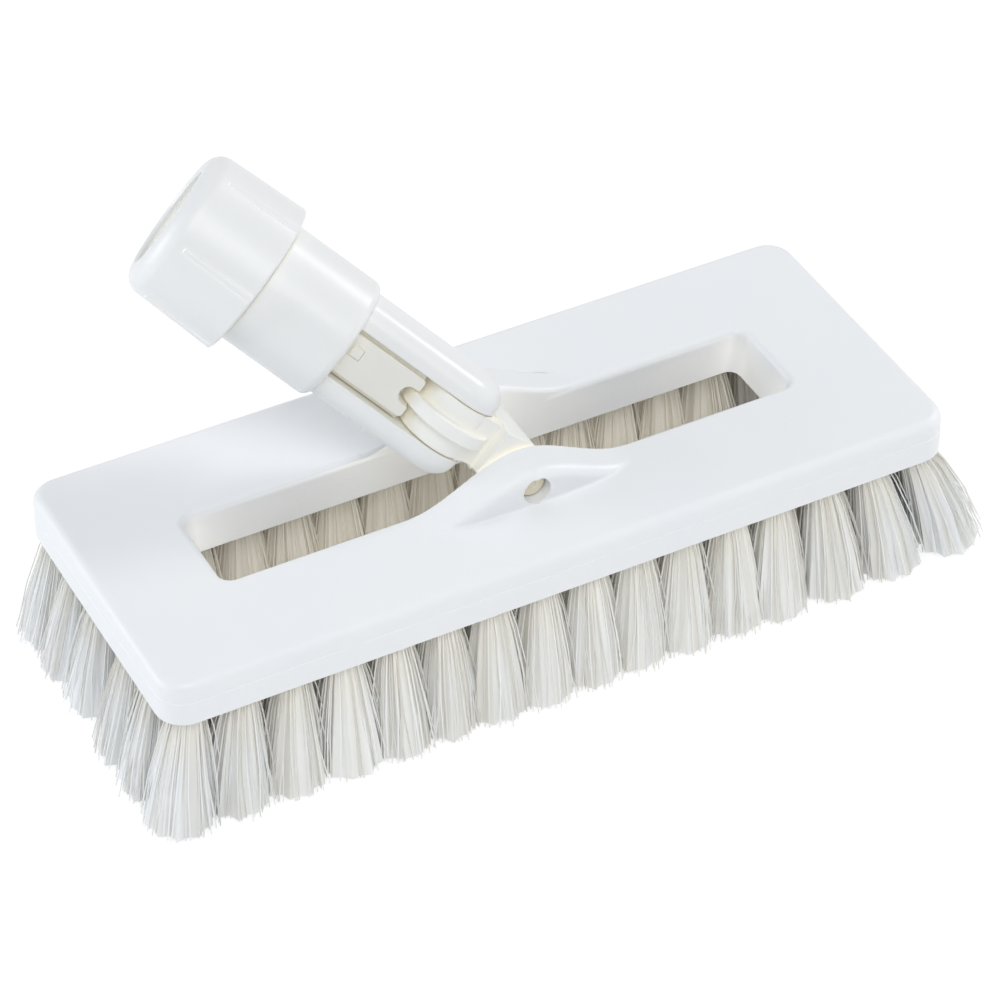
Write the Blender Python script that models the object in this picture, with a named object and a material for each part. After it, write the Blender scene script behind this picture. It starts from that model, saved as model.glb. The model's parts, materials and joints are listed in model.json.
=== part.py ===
"""A swivel floor brush: a moulded block on bristle tufts, with a two-way joint and a handle socket.

Lengths are in metres, angles in degrees, and +Z is up. The block's long side runs along X.
At rest the brush stands on its trimmed tips, and the socket leans to the left end and to the back.
The first joint turns about the axle along Y, the second about the tilt pin that crosses it.
"""

import math

import bmesh
import bpy
import numpy
from mathutils import Matrix, Vector

# Fits and cuts that all pieces share
SEAT_GAP = 0.0003
CUT_OVERRUN = 0.003
ROUND_STEPS = 40
MERGE_DISTANCE = 0.000001
SMOOTH_ANGLE = math.radians(35)

# Rest pose of the joint
SWING_REST = 47.0
TILT_REST = 35.5

# Block
BLOCK_LENGTH = 0.2032
BLOCK_WIDTH = 0.080
BLOCK_THICKNESS = 0.0118
BLOCK_CORNER_RADIUS = 0.007
BLOCK_TOP_FILLET = 0.003
BLOCK_EDGE_BREAK = 0.0005
PARTING_STEP = 0.0005
PARTING_HEIGHT = 0.0065
CORNER_STEPS = 6
FILLET_STEPS = 4

# Window through the block
END_PAD_LENGTH = 0.0271
WINDOW_WIDTH = 0.0235
WINDOW_CORNER_RADIUS = 0.003
WINDOW_FILLET = 0.002
WINDOW_END_DRAFT = 0.0025

# Ears that carry the axle
EAR_CHORD = 0.056
EAR_HEIGHT = 0.0092
EAR_GAP = 0.0229
EAR_THICKNESS = 0.0110
EAR_OUTER_BOW = 0.002
EAR_INNER_BOW = 0.0006
EAR_FILLET = 0.0015
EAR_DEPTH = 0.010
EAR_SINK = 0.0006
EAR_STATIONS = 24

# Axle pin
AXLE_HEIGHT = 0.004
AXLE_DIAMETER = 0.00635
AXLE_RECESS = 0.003
PIN_CHAMFER = 0.0004

# Knuckle between the two axes
FOOT_WIDTH = 0.0124
FOOT_CHAMFER = 0.0006
HUB_OFFSET = 0.0168
HUB_RADIUS = 0.0087
HUB_WIDTH = 0.0127
RIB_RADIUS = 0.0112
RIB_WIDTH = 0.0036
WEB_WIDTH = 0.012
WEB_DEPTH = 0.012

# Tilt pin
TILT_PIN_DIAMETER = 0.00635
TILT_PIN_RECESS = 0.001

# Socket yoke: the fork, the body and its threaded neck
FORK_WIDTH = 0.026
FORK_DEPTH = 0.0176
FORK_CORNER_RADIUS = 0.005
FORK_ROUND_STEPS = 5
SHOULDER_REACH = 0.0288
SLOT_RELIEF = 0.0005
BODY_DIAMETER = 0.0309
BODY_LENGTH = 0.0244
BODY_END_FILLET = 0.0022
NECK_DIAMETER = 0.029
SOCKET_DIAMETER = 0.0198
SOCKET_FLOOR = 0.005

# Lock plunger between the fork's arms
PLUNGER_SIDE_GAP = 0.00135
PLUNGER_DEPTH = 0.0144
PLUNGER_HEAD_GAP = 0.0007
PLUNGER_HEAD_THICKNESS = 0.004
PLUNGER_NOTCH_RELIEF = 0.0002

# Handle collar
COLLAR_LENGTH = 0.0248
COLLAR_LIP = 0.0048
COLLAR_BACK_DIAMETER = 0.0384
COLLAR_MOUTH_DIAMETER = 0.0368
COLLAR_MOUTH_FILLET = 0.0045
COLLAR_BACK_CHAMFER = 0.0005
COLLAR_BORE = 0.0252
RIDGE_COUNT = 6
RIDGE_HEIGHT = 0.0008
RIDGE_WIDTH = 0.0016
RIDGE_CREST_WIDTH = 0.0006
RIDGE_FADE_DEPTH = 0.0002
RIDGE_END_MARGIN = 0.0018
RIDGE_TURN = 30.0

# Bristle tufts and the slices of the block's underside that hold them
TRIM_LENGTH = 0.03175
TRIM_CUT = 0.0005
TUFT_COLUMNS = 16
END_TUFT_INSET = 0.00785
OUTER_ROW_SHARE = 0.22
INNER_ROW_SHARE = 0.66
END_ROW_SHARE = 0.75
END_COLUMNS = 2
SLICE_THICKNESS = 0.0015
SLICE_MARGIN = 0.0034
TUFT_ROOT_RADIUS = 0.0019
TUFT_TIP_RADIUS = 0.0042
STRANDS_ROUND_TUFT = 5
STRAND_SIDES = 3
STRAND_ROOT_RADIUS = 0.0008
STRAND_TIP_RADIUS = 0.0012
LEFT_FLARE = 0.006
RIGHT_FLARE = 0.010
SIDE_FLARE = 0.0035
FLARE_REACH = 0.050
TUFT_WANDER = 0.0004
TUFT_SEED = 7

# Sizes and places worked out from the ones above
BLOCK_BOTTOM = TRIM_LENGTH
BLOCK_TOP = BLOCK_BOTTOM + BLOCK_THICKNESS
WINDOW_LENGTH = BLOCK_LENGTH - 2 * END_PAD_LENGTH
RAIL_WIDTH = (BLOCK_WIDTH - WINDOW_WIDTH) / 2
OUTER_ROW = BLOCK_WIDTH / 2 - RAIL_WIDTH * OUTER_ROW_SHARE
INNER_ROW = BLOCK_WIDTH / 2 - RAIL_WIDTH * INNER_ROW_SHARE
END_ROW = WINDOW_WIDTH / 2 * END_ROW_SHARE
LAST_COLUMN = BLOCK_LENGTH / 2 - END_TUFT_INSET
TUFT_PITCH = 2 * LAST_COLUMN / (TUFT_COLUMNS - 1)
EAR_OUTER = EAR_GAP / 2 + EAR_THICKNESS
AXLE_BORE_RADIUS = AXLE_DIAMETER / 2 + SEAT_GAP
TILT_BORE_RADIUS = TILT_PIN_DIAMETER / 2 + SEAT_GAP
SLOT_WIDTH = HUB_WIDTH + 2 * SEAT_GAP
PLUNGER_END = HUB_RADIUS + SEAT_GAP
PLUNGER_WIDTH = SLOT_WIDTH - 2 * PLUNGER_SIDE_GAP
PLUNGER_HEAD_DIAMETER = SOCKET_DIAMETER - 2 * PLUNGER_HEAD_GAP
COLLAR_START = SHOULDER_REACH + BODY_LENGTH
SOCKET_START = SHOULDER_REACH + SOCKET_FLOOR
NECK_LENGTH = COLLAR_LENGTH - COLLAR_LIP
NECK_END = COLLAR_START + NECK_LENGTH
RIDGE_LENGTH = COLLAR_LENGTH - COLLAR_MOUTH_FILLET - RIDGE_END_MARGIN

# Colours of the mouldings and the bristles
WHITE_PLASTIC = (0.86, 0.87, 0.88, 1.0)
WARM_PLASTIC = (0.82, 0.82, 0.78, 1.0)
PIN_PLASTIC = (0.78, 0.74, 0.62, 1.0)
BRISTLE_WHITE = (0.80, 0.79, 0.75, 1.0)


def clear_scene():
    for old in list(bpy.data.objects):
        bpy.data.objects.remove(old, do_unlink=True)


def plastic(name, colour, roughness):
    """A moulded plastic finish."""
    finish = bpy.data.materials.new(name)
    finish.use_nodes = True
    shader = finish.node_tree.nodes["Principled BSDF"]
    shader.inputs["Base Color"].default_value = colour
    shader.inputs["Roughness"].default_value = roughness
    shader.inputs["Metallic"].default_value = 0.0
    return finish


def empty(name, parent, location, rotation=(0, 0, 0)):
    """A named frame that pieces are placed by."""
    frame = bpy.data.objects.new(name, None)
    bpy.context.collection.objects.link(frame)
    frame.parent = parent
    frame.location = location
    frame.rotation_euler = rotation
    return frame


def piece(name, mesh_data, parent, finish=None):
    """An object from a bmesh, in its parent's frame. Without a finish it is a guide for a cut or a union."""
    bmesh.ops.remove_doubles(mesh_data, verts=mesh_data.verts, dist=MERGE_DISTANCE)
    bmesh.ops.recalc_face_normals(mesh_data, faces=mesh_data.faces)
    mesh = bpy.data.meshes.new(name)
    mesh_data.to_mesh(mesh)
    mesh_data.free()
    thing = bpy.data.objects.new(name, mesh)
    bpy.context.collection.objects.link(thing)
    thing.parent = parent
    if finish is None:
        thing.hide_render = True
        thing.display_type = "WIRE"
    else:
        mesh.materials.append(finish)
        mesh.shade_smooth()
        mesh.set_sharp_from_angle(angle=SMOOTH_ANGLE)
    return thing


def combine(target, operation, guide):
    """Adds one exact Boolean of the guide to the target."""
    step = target.modifiers.new(guide.name, "BOOLEAN")
    step.operation = operation
    step.solver = "EXACT"
    step.object = guide


def stacked(rings):
    """A closed bmesh through rings of as many points each, capped at both ends."""
    mesh_data = bmesh.new()
    rows = [[mesh_data.verts.new(point) for point in ring] for ring in rings]
    count = len(rings[0])
    for lower, upper in zip(rows, rows[1:]):
        for index in range(count):
            following = (index + 1) % count
            mesh_data.faces.new((lower[index], lower[following], upper[following], upper[index]))
    mesh_data.faces.new(list(reversed(rows[0])))
    mesh_data.faces.new(rows[-1])
    return mesh_data


def rounded_rectangle(length, width, radius, steps=CORNER_STEPS):
    """Points of a rounded rectangle round the origin, counter-clockwise."""
    points = []
    for corner in range(4):
        sign_x = 1 if corner in (0, 3) else -1
        sign_y = 1 if corner in (0, 1) else -1
        centre_x = sign_x * (length / 2 - radius)
        centre_y = sign_y * (width / 2 - radius)
        for step in range(steps + 1):
            angle = math.radians(90) * (corner + step / steps)
            points.append((centre_x + radius * math.cos(angle), centre_y + radius * math.sin(angle)))
    return points


def plate_ring(length, width, radius, inset, height):
    """One level of a plate whose rounded outline is drawn in by the inset."""
    outline = rounded_rectangle(length - 2 * inset, width - 2 * inset, radius - inset)
    return [(x, y, height) for x, y in outline]


def prism(outline, direction, start, end):
    """A closed bmesh of a flat outline pushed along X, Y or Z."""
    order = {
        "X": lambda u, v, w: (w, u, v),
        "Y": lambda u, v, w: (v, w, u),
        "Z": lambda u, v, w: (u, v, w),
    }[direction]
    return stacked([[order(u, v, level) for u, v in outline] for level in (start, end)])


def circle(radius, centre=(0, 0), steps=ROUND_STEPS):
    """Points of a circle, counter-clockwise."""
    turn = 2 * math.pi / steps
    return [
        (centre[0] + radius * math.cos(turn * step), centre[1] + radius * math.sin(turn * step))
        for step in range(steps)
    ]


def box(size, centre):
    """A closed bmesh box."""
    low = [middle - side / 2 for middle, side in zip(centre, size)]
    high = [middle + side / 2 for middle, side in zip(centre, size)]
    outline = [(low[0], low[1]), (high[0], low[1]), (high[0], high[1]), (low[0], high[1])]
    return prism(outline, "Z", low[2], high[2])


def turned(profile, steps=ROUND_STEPS):
    """A closed bmesh from (radius, height) points turned round Z. A radius of zero closes an end."""
    mesh_data = bmesh.new()
    rows = []
    for radius, height in profile:
        if radius == 0:
            rows.append([mesh_data.verts.new((0, 0, height))] * steps)
        else:
            rows.append([mesh_data.verts.new((x, y, height)) for x, y in circle(radius, steps=steps)])
    for lower, upper in zip(rows, rows[1:] + rows[:1]):
        for index in range(steps):
            following = (index + 1) % steps
            corners = [lower[index], lower[following], upper[following], upper[index]]
            distinct = list(dict.fromkeys(corners))
            if len(distinct) > 2:
                mesh_data.faces.new(distinct)
    return mesh_data


def pin_profile(radius, length):
    """A straight pin with broken ends, as a turned profile."""
    half = length / 2
    return [
        (0, -half),
        (radius - PIN_CHAMFER, -half),
        (radius, PIN_CHAMFER - half),
        (radius, half - PIN_CHAMFER),
        (radius - PIN_CHAMFER, half),
        (0, half),
    ]


def block_plate():
    """The moulding's outer form, from its underside to its filleted top."""
    levels = [
        (BLOCK_EDGE_BREAK, BLOCK_BOTTOM),
        (0, BLOCK_BOTTOM + BLOCK_EDGE_BREAK),
        (0, BLOCK_BOTTOM + PARTING_HEIGHT),
        (PARTING_STEP, BLOCK_BOTTOM + PARTING_HEIGHT + PARTING_STEP),
    ]
    for step in range(FILLET_STEPS + 1):
        angle = math.radians(90) * step / FILLET_STEPS
        levels.append((
            PARTING_STEP + BLOCK_TOP_FILLET * (1 - math.cos(angle)),
            BLOCK_TOP - BLOCK_TOP_FILLET * (1 - math.sin(angle)),
        ))
    return stacked([
        plate_ring(BLOCK_LENGTH, BLOCK_WIDTH, BLOCK_CORNER_RADIUS, inset, height)
        for inset, height in levels
    ])


def window_cut():
    """The window's space: its ends draw in toward the underside, and its top edges are rounded."""
    bottom_length = WINDOW_LENGTH - 2 * WINDOW_END_DRAFT
    rings = [
        plate_ring(bottom_length, WINDOW_WIDTH, WINDOW_CORNER_RADIUS, 0, BLOCK_BOTTOM - CUT_OVERRUN),
    ]
    for step in range(FILLET_STEPS + 1):
        angle = math.radians(90) * step / FILLET_STEPS
        grow = WINDOW_FILLET * (1 - math.cos(angle))
        height = BLOCK_TOP - WINDOW_FILLET * (1 - math.sin(angle))
        rings.append(plate_ring(WINDOW_LENGTH, WINDOW_WIDTH, WINDOW_CORNER_RADIUS, -grow, height))
    rings.append(plate_ring(
        WINDOW_LENGTH, WINDOW_WIDTH, WINDOW_CORNER_RADIUS, -WINDOW_FILLET, BLOCK_TOP + CUT_OVERRUN
    ))
    return stacked(rings)


def ear(side):
    """One ear: a bell-shaped wall that swells up from a rail, bowed out on its outer face."""
    rings = []
    reach = EAR_CHORD / 2
    foot = BLOCK_TOP - EAR_DEPTH
    for station in range(EAR_STATIONS + 1):
        x = reach * (2 * station / EAR_STATIONS - 1)
        share = (2 * x / EAR_CHORD) ** 2
        outer = EAR_OUTER - EAR_OUTER_BOW * share
        inner = EAR_GAP / 2 + EAR_INNER_BOW * share
        swell = math.cos(math.pi * x / EAR_CHORD) ** 2
        crest = BLOCK_TOP - EAR_SINK + (EAR_HEIGHT + EAR_SINK) * swell
        ring = [(x, side * inner, foot)]
        for step in range(FILLET_STEPS):
            angle = math.radians(90) * step / (FILLET_STEPS - 1)
            ring.append((
                x,
                side * (inner + EAR_FILLET * (1 - math.cos(angle))),
                crest - EAR_FILLET * (1 - math.sin(angle)),
            ))
        for step in range(FILLET_STEPS):
            angle = math.radians(90) * step / (FILLET_STEPS - 1)
            ring.append((
                x,
                side * (outer - EAR_FILLET * (1 - math.sin(angle))),
                crest - EAR_FILLET * (1 - math.cos(angle)),
            ))
        ring.append((x, side * outer, foot))
        rings.append(ring)
    return stacked(rings)


def tuft_rows():
    """Each tuft row's node name and its tufts' places on the underside."""
    columns = [TUFT_PITCH * column - LAST_COLUMN for column in range(TUFT_COLUMNS)]
    left_columns = columns[:END_COLUMNS]
    right_columns = columns[-END_COLUMNS:]
    return {
        "tufts_front_outer": [(x, -OUTER_ROW) for x in columns],
        "tufts_front_inner": [(x, -INNER_ROW) for x in columns],
        "tufts_back_inner": [(x, INNER_ROW) for x in columns],
        "tufts_back_outer": [(x, OUTER_ROW) for x in columns],
        "tufts_left_end": [(x, y) for x in left_columns for y in (-END_ROW, END_ROW)],
        "tufts_right_end": [(x, y) for x in right_columns for y in (-END_ROW, END_ROW)],
    }


def slice_box(places, margin, thickness, overrun=0):
    """A slab over a row's tufts, from the underside up, or longer below by the overrun."""
    xs = [x for x, _ in places]
    ys = [y for _, y in places]
    size = (max(xs) - min(xs) + 2 * margin, max(ys) - min(ys) + 2 * margin, thickness + overrun)
    middle = ((max(xs) + min(xs)) / 2, (max(ys) + min(ys)) / 2)
    return box(size, (middle[0], middle[1], BLOCK_BOTTOM + (thickness - overrun) / 2))


def tuft_lean(x, y):
    """How far a tuft's tip stands from its root, along X and Y."""
    spread = TUFT_TIP_RADIUS + STRAND_TIP_RADIUS
    flare = RIGHT_FLARE if x > 0 else LEFT_FLARE
    furthest = BLOCK_LENGTH / 2 + flare - LAST_COLUMN - spread
    share = max(0.0, (abs(x) - LAST_COLUMN + FLARE_REACH) / FLARE_REACH)
    along = math.copysign(furthest * share**2, x)
    sideways = BLOCK_WIDTH / 2 + SIDE_FLARE - OUTER_ROW - spread
    across = math.copysign(sideways * (y / OUTER_ROW) ** 2, y)
    return along, across


def strand(mesh_data, root, tip, turn):
    """One strand: a thin prism from inside the slice to the floor, cut flat there."""
    top = BLOCK_BOTTOM + SLICE_THICKNESS / 2
    cut_share = top / (top + TRIM_CUT)
    end = [start + (finish - start) * cut_share for start, finish in zip(root, tip)]
    end_radius = STRAND_ROOT_RADIUS + (STRAND_TIP_RADIUS - STRAND_ROOT_RADIUS) * cut_share
    rings = []
    for centre, radius, height in ((root, STRAND_ROOT_RADIUS, top), (end, end_radius, 0)):
        corners = []
        for side in range(STRAND_SIDES):
            angle = turn + 2 * math.pi * side / STRAND_SIDES
            corners.append(mesh_data.verts.new((
                centre[0] + radius * math.cos(angle),
                centre[1] + radius * math.sin(angle),
                height,
            )))
        rings.append(corners)
    for side in range(STRAND_SIDES):
        following = (side + 1) % STRAND_SIDES
        mesh_data.faces.new((rings[0][side], rings[0][following], rings[1][following], rings[1][side]))
    mesh_data.faces.new(rings[0])
    mesh_data.faces.new(rings[1])


def tuft_strands(places, random_source):
    """All strands of a row: each tuft has one in the middle and a ring that fans out."""
    mesh_data = bmesh.new()
    for x, y in places:
        along, across = tuft_lean(x, y)
        wander = random_source.uniform(-TUFT_WANDER, TUFT_WANDER, 2)
        phase = random_source.uniform(0, 2 * math.pi)
        tip = (x + along + wander[0], y + across + wander[1])
        strand(mesh_data, (x, y), tip, phase)
        for number in range(STRANDS_ROUND_TUFT):
            angle = phase + 2 * math.pi * number / STRANDS_ROUND_TUFT
            outward = (math.cos(angle), math.sin(angle))
            strand(
                mesh_data,
                (x + TUFT_ROOT_RADIUS * outward[0], y + TUFT_ROOT_RADIUS * outward[1]),
                (tip[0] + TUFT_TIP_RADIUS * outward[0], tip[1] + TUFT_TIP_RADIUS * outward[1]),
                angle,
            )
    return mesh_data


def build_block(base, finish):
    block = piece("brush_block", block_plate(), base, finish)
    combine(block, "DIFFERENCE", piece("window_space", window_cut(), base))
    for name, side in (("front_ear", -1), ("back_ear", 1)):
        combine(block, "UNION", piece(name, ear(side), base))
    reach = EAR_OUTER + CUT_OVERRUN
    hole = circle(AXLE_BORE_RADIUS, (BLOCK_TOP + AXLE_HEIGHT, 0))
    combine(block, "DIFFERENCE", piece("axle_bore", prism(hole, "Y", -reach, reach), base))
    for name, places in tuft_rows().items():
        pocket = slice_box(places, SLICE_MARGIN + SEAT_GAP, SLICE_THICKNESS + SEAT_GAP, CUT_OVERRUN)
        combine(block, "DIFFERENCE", piece(name + "_pocket", pocket, base))


def build_tufts(base, finish):
    random_source = numpy.random.default_rng(TUFT_SEED)
    for name, places in tuft_rows().items():
        row = piece(name, slice_box(places, SLICE_MARGIN, SLICE_THICKNESS), base, finish)
        combine(row, "UNION", piece(name + "_strands", tuft_strands(places, random_source), base))


def build_pins(swing, tilt, finish):
    """The axle through both ears and the tilt pin through both arms."""
    axle_length = 2 * (EAR_OUTER - AXLE_RECESS)
    axle = piece("axle_pin", turned(pin_profile(AXLE_DIAMETER / 2, axle_length)), swing, finish)
    axle.rotation_euler = (math.radians(90), 0, 0)
    tilt_length = FORK_WIDTH - 2 * TILT_PIN_RECESS
    pin = piece("tilt_pin", turned(pin_profile(TILT_PIN_DIAMETER / 2, tilt_length)), tilt, finish)
    pin.rotation_euler = (0, math.radians(90), 0)


def foot_form():
    """The knuckle's foot: round under the axle, flat where the hub rises, with broken end edges."""
    half = EAR_GAP / 2 - SEAT_GAP
    top = HUB_OFFSET - HUB_RADIUS
    half_turn = ROUND_STEPS // 2
    levels = [(half - FOOT_CHAMFER, 0), (half, FOOT_CHAMFER)]
    rings = []
    for y, inset in [(-y, inset) for y, inset in reversed(levels)] + levels:
        radius = FOOT_WIDTH / 2 - inset
        ring = [(radius, y, top - inset), (-radius, y, top - inset)]
        for step in range(half_turn + 1):
            angle = math.pi * (1 + step / half_turn)
            ring.append((radius * math.cos(angle), y, radius * math.sin(angle)))
        rings.append(ring)
    return stacked(rings)


def build_knuckle(swing, finish):
    """The hub round the tilt pin on its foot round the axle, with the web and the rib between them."""
    half_hub = HUB_WIDTH / 2
    outline = circle(HUB_RADIUS, (0, HUB_OFFSET))
    hub = piece("knuckle", prism(outline, "X", -half_hub, half_hub), swing, finish)
    combine(hub, "UNION", piece("knuckle_foot", foot_form(), swing))
    web = box((WEB_WIDTH, WEB_DEPTH, HUB_OFFSET), (0, 0, HUB_OFFSET / 2))
    combine(hub, "UNION", piece("knuckle_web", web, swing))
    rib = prism(circle(RIB_RADIUS, (0, HUB_OFFSET)), "X", -RIB_WIDTH / 2, RIB_WIDTH / 2)
    combine(hub, "UNION", piece("knuckle_rib", rib, swing))
    reach = EAR_GAP / 2 + CUT_OVERRUN
    axle_hole = prism(circle(AXLE_BORE_RADIUS), "Y", -reach, reach)
    combine(hub, "DIFFERENCE", piece("knuckle_axle_hole", axle_hole, swing))
    reach = half_hub + CUT_OVERRUN
    tilt_hole = prism(circle(TILT_BORE_RADIUS, (0, HUB_OFFSET)), "X", -reach, reach)
    combine(hub, "DIFFERENCE", piece("knuckle_tilt_hole", tilt_hole, swing))


def fork_outline(inset):
    """The fork seen along the tilt pin, as (depth, height) points: a round tip and straight sides."""
    radius = FORK_DEPTH / 2 - inset
    half_turn = ROUND_STEPS // 2
    outline = []
    for step in range(half_turn + 1):
        angle = math.pi * (1 + step / half_turn)
        outline.append((radius * math.cos(angle), radius * math.sin(angle)))
    end = SHOULDER_REACH + CUT_OVERRUN
    return outline + [(radius, end), (-radius, end)]


def fork_form():
    """The fork before its slot: a bar with a round tip, rounded along its outer edges."""
    levels = []
    for step in range(FORK_ROUND_STEPS + 1):
        angle = math.radians(90) * step / FORK_ROUND_STEPS
        across = FORK_WIDTH / 2 - FORK_CORNER_RADIUS * (1 - math.cos(angle))
        levels.append((across, FORK_CORNER_RADIUS * (1 - math.sin(angle))))
    both = [(-across, inset) for across, inset in levels] + levels[::-1]
    return stacked([
        [(across, depth, height) for depth, height in fork_outline(inset)] for across, inset in both
    ])


def body_profile():
    """The socket's body and its threaded neck, as a turned profile from the shoulder up."""
    radius = BODY_DIAMETER / 2
    profile = [(0, SHOULDER_REACH)]
    for step in range(FILLET_STEPS):
        angle = math.radians(90) * step / (FILLET_STEPS - 1)
        profile.append((
            radius - BODY_END_FILLET * (1 - math.sin(angle)),
            SHOULDER_REACH + BODY_END_FILLET * (1 - math.cos(angle)),
        ))
    profile += [
        (radius, COLLAR_START - SEAT_GAP),
        (NECK_DIAMETER / 2, COLLAR_START - SEAT_GAP),
        (NECK_DIAMETER / 2, NECK_END),
        (0, NECK_END),
    ]
    return profile


def build_yoke(tilt, finish):
    """The fork and the socket in one, bored for the handle, the plunger and the tilt pin."""
    yoke = piece("socket_yoke", fork_form(), tilt, finish)
    combine(yoke, "UNION", piece("socket_body", turned(body_profile()), tilt))
    slot_end = SHOULDER_REACH + SLOT_RELIEF
    slot_length = slot_end + FORK_DEPTH / 2 + CUT_OVERRUN
    slot = box(
        (SLOT_WIDTH, FORK_DEPTH + 2 * CUT_OVERRUN, slot_length),
        (0, 0, slot_end - slot_length / 2),
    )
    combine(yoke, "DIFFERENCE", piece("fork_slot", slot, tilt))
    bore_end = NECK_END + CUT_OVERRUN
    bore = [
        (0, SOCKET_START),
        (SOCKET_DIAMETER / 2, SOCKET_START),
        (SOCKET_DIAMETER / 2, bore_end),
        (0, bore_end),
    ]
    combine(yoke, "DIFFERENCE", piece("handle_bore", turned(bore), tilt))
    guide = box(
        (PLUNGER_WIDTH + 2 * SEAT_GAP, PLUNGER_DEPTH + 2 * SEAT_GAP, SOCKET_FLOOR + 2 * CUT_OVERRUN),
        (0, 0, SHOULDER_REACH + SOCKET_FLOOR / 2),
    )
    combine(yoke, "DIFFERENCE", piece("plunger_guide", guide, tilt))
    reach = FORK_WIDTH / 2 + CUT_OVERRUN
    hole = prism(circle(TILT_BORE_RADIUS), "X", -reach, reach)
    combine(yoke, "DIFFERENCE", piece("fork_pin_hole", hole, tilt))


def plunger_notch():
    """The notch in the tongue's end: a slot with a round floor that clears the corners of the rib."""
    rib_half = RIB_WIDTH / 2
    radius = rib_half + SEAT_GAP + PLUNGER_NOTCH_RELIEF
    rise = math.sqrt((rib_half + PLUNGER_NOTCH_RELIEF) ** 2 - rib_half**2)
    centre = RIB_RADIUS - rise
    half_turn = ROUND_STEPS // 2
    outline = []
    for step in range(half_turn + 1):
        angle = math.pi * step / half_turn - math.pi / 2
        outline.append((centre + radius * math.cos(angle), radius * math.sin(angle)))
    below = PLUNGER_END - CUT_OVERRUN
    outline += [(below, radius), (below, -radius)]
    reach = PLUNGER_DEPTH / 2 + CUT_OVERRUN
    return prism(outline, "Y", -reach, reach)


def build_plunger(slide, finish):
    """The tongue that slides between the arms onto the hub, with a head inside the socket."""
    head_start = SOCKET_START + SEAT_GAP
    tongue_length = head_start + PLUNGER_HEAD_THICKNESS / 2 - PLUNGER_END
    tongue_box = box(
        (PLUNGER_WIDTH, PLUNGER_DEPTH, tongue_length),
        (0, 0, PLUNGER_END + tongue_length / 2),
    )
    tongue = piece("lock_plunger", tongue_box, slide, finish)
    radius = PLUNGER_HEAD_DIAMETER / 2
    head_end = head_start + PLUNGER_HEAD_THICKNESS
    head = [(0, head_start), (radius, head_start), (radius, head_end), (0, head_end)]
    combine(tongue, "UNION", piece("plunger_head", turned(head), slide))
    combine(tongue, "DIFFERENCE", piece("plunger_notch", plunger_notch(), slide))


def collar_radius(height):
    """The collar's outer radius at a height above its back edge, before the mouth's fillet."""
    share = height / COLLAR_LENGTH
    return (COLLAR_BACK_DIAMETER + (COLLAR_MOUTH_DIAMETER - COLLAR_BACK_DIAMETER) * share) / 2


def collar_profile():
    """The collar as one closed turned profile, outside first, then back down the inside."""
    profile = [
        (collar_radius(0) - COLLAR_BACK_CHAMFER, 0),
        (collar_radius(0), COLLAR_BACK_CHAMFER),
    ]
    fillet_start = COLLAR_LENGTH - COLLAR_MOUTH_FILLET
    for step in range(FILLET_STEPS + 1):
        angle = math.radians(90) * step / FILLET_STEPS
        profile.append((
            collar_radius(fillet_start) - COLLAR_MOUTH_FILLET * (1 - math.cos(angle)),
            fillet_start + COLLAR_MOUTH_FILLET * math.sin(angle),
        ))
    inner = NECK_DIAMETER / 2 + SEAT_GAP
    seat = NECK_LENGTH + SEAT_GAP
    profile += [
        (COLLAR_BORE / 2, COLLAR_LENGTH),
        (COLLAR_BORE / 2, seat),
        (inner, seat),
        (inner, 0),
    ]
    return profile


def collar_ridge(turn):
    """One grip ridge: a low wedge along the collar that fades out toward the mouth."""
    faded = collar_radius(RIDGE_LENGTH)
    foot = faded - 2 * RIDGE_HEIGHT
    crest_half = RIDGE_CREST_WIDTH / 2
    foot_half = RIDGE_WIDTH / 2
    rings = []
    for height, crest in (
        (COLLAR_BACK_CHAMFER, collar_radius(0) + RIDGE_HEIGHT),
        (RIDGE_LENGTH, faded - RIDGE_FADE_DEPTH),
    ):
        side = crest - RIDGE_HEIGHT
        rings.append([
            (foot, -foot_half, height),
            (side, -foot_half, height),
            (crest, -crest_half, height),
            (crest, crest_half, height),
            (side, foot_half, height),
            (foot, foot_half, height),
        ])
    ridge = stacked(rings)
    ridge.transform(Matrix.Rotation(turn, 4, "Z"))
    return ridge


def build_collar(turn_frame, finish):
    collar = piece("handle_collar", turned(collar_profile()), turn_frame, finish)
    for number in range(RIDGE_COUNT):
        turn = math.radians(RIDGE_TURN) + 2 * math.pi * number / RIDGE_COUNT
        combine(collar, "UNION", piece(f"collar_ridge_{number + 1}", collar_ridge(turn), turn_frame))


def stand_on_origin(base):
    """Moves the whole brush so that the middle of its footprint's box is at the origin."""
    bpy.context.view_layer.update()
    graph = bpy.context.evaluated_depsgraph_get()
    low = Vector((math.inf,) * 3)
    high = Vector((-math.inf,) * 3)
    for thing in bpy.data.objects:
        if thing.type != "MESH" or thing.hide_render:
            continue
        whole = thing.evaluated_get(graph)
        mesh = whole.to_mesh()
        for vertex in mesh.vertices:
            point = whole.matrix_world @ vertex.co
            low = Vector(map(min, low, point))
            high = Vector(map(max, high, point))
        whole.to_mesh_clear()
    base.location = -(low + high) / 2
    base.location.z = -low.z


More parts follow.
